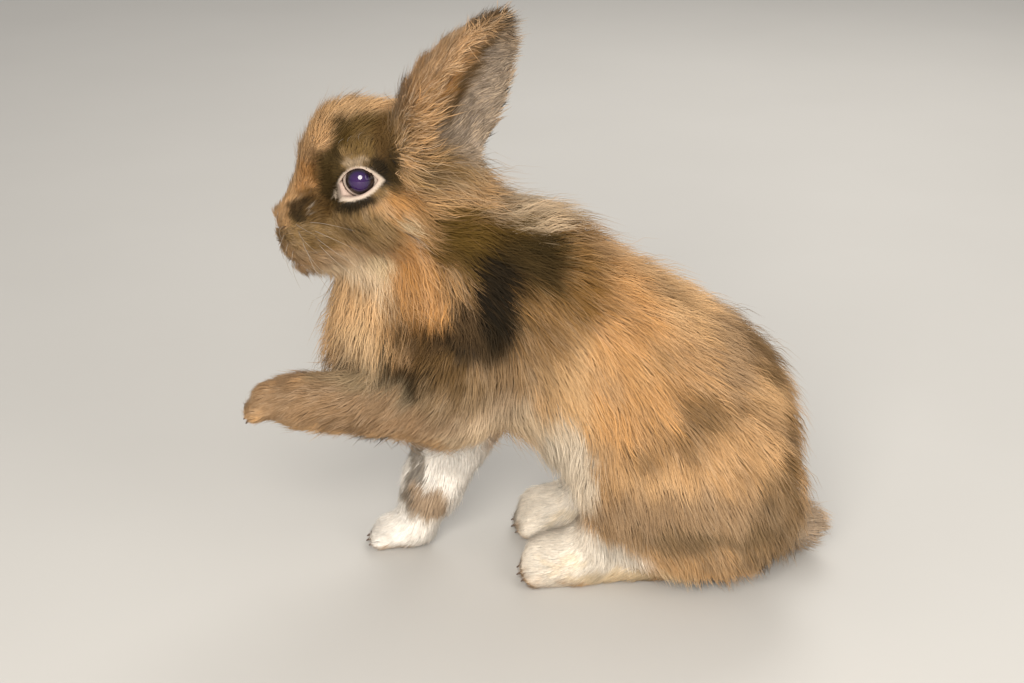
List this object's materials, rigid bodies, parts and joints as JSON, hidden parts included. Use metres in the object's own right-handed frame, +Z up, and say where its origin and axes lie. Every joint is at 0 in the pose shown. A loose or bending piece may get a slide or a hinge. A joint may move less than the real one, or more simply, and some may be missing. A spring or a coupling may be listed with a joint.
{
  "type": "lionhead rabbit",
  "caption": "Life-size still model of a small lionhead rabbit, crouched with one forepaw down and the other reaching out.",
  "frame": {"origin": "on the floor, below the middle of the rabbit's box", "axes": "+Z up, -X the way the rabbit faces, -Y its left side"},
  "size_m": [0.2478, 0.1076, 0.2431],
  "materials": {
    "coat": "soft hair, mottled orange, beige and near black",
    "pale_coat": "short soft hair, white to cream",
    "eye": "wet and glossy, dark brown",
    "claw": "dull horn, dark"
  },
  "bodies": {
    "root": {"head": "coat", "neck": "coat", "trunk": "coat", "tail": "coat", "ear_left": "coat", "ear_right": "coat", "thigh_left": "coat", "thigh_right": "coat", "foreleg_left": "coat", "forepaw_left": "coat", "foreleg_right": "pale_coat", "forepaw_right": "pale_coat", "hind_foot_left": "pale_coat", "hind_foot_right": "pale_coat", "eye_left": "eye", "eye_right": "eye", "claw_hind_left_1": "claw", "claw_hind_left_2": "claw", "claw_hind_left_3": "claw", "claw_hind_left_4": "claw", "claw_hind_right_1": "claw", "claw_hind_right_2": "claw", "claw_hind_right_3": "claw", "claw_hind_right_4": "claw", "claw_front_right_1": "claw", "claw_front_right_2": "claw", "claw_front_right_3": "claw", "claw_front_right_4": "claw", "claw_front_left_1": "claw", "claw_front_left_2": "claw", "claw_front_left_3": "claw", "claw_front_left_4": "claw"}
  },
  "joints": []
}
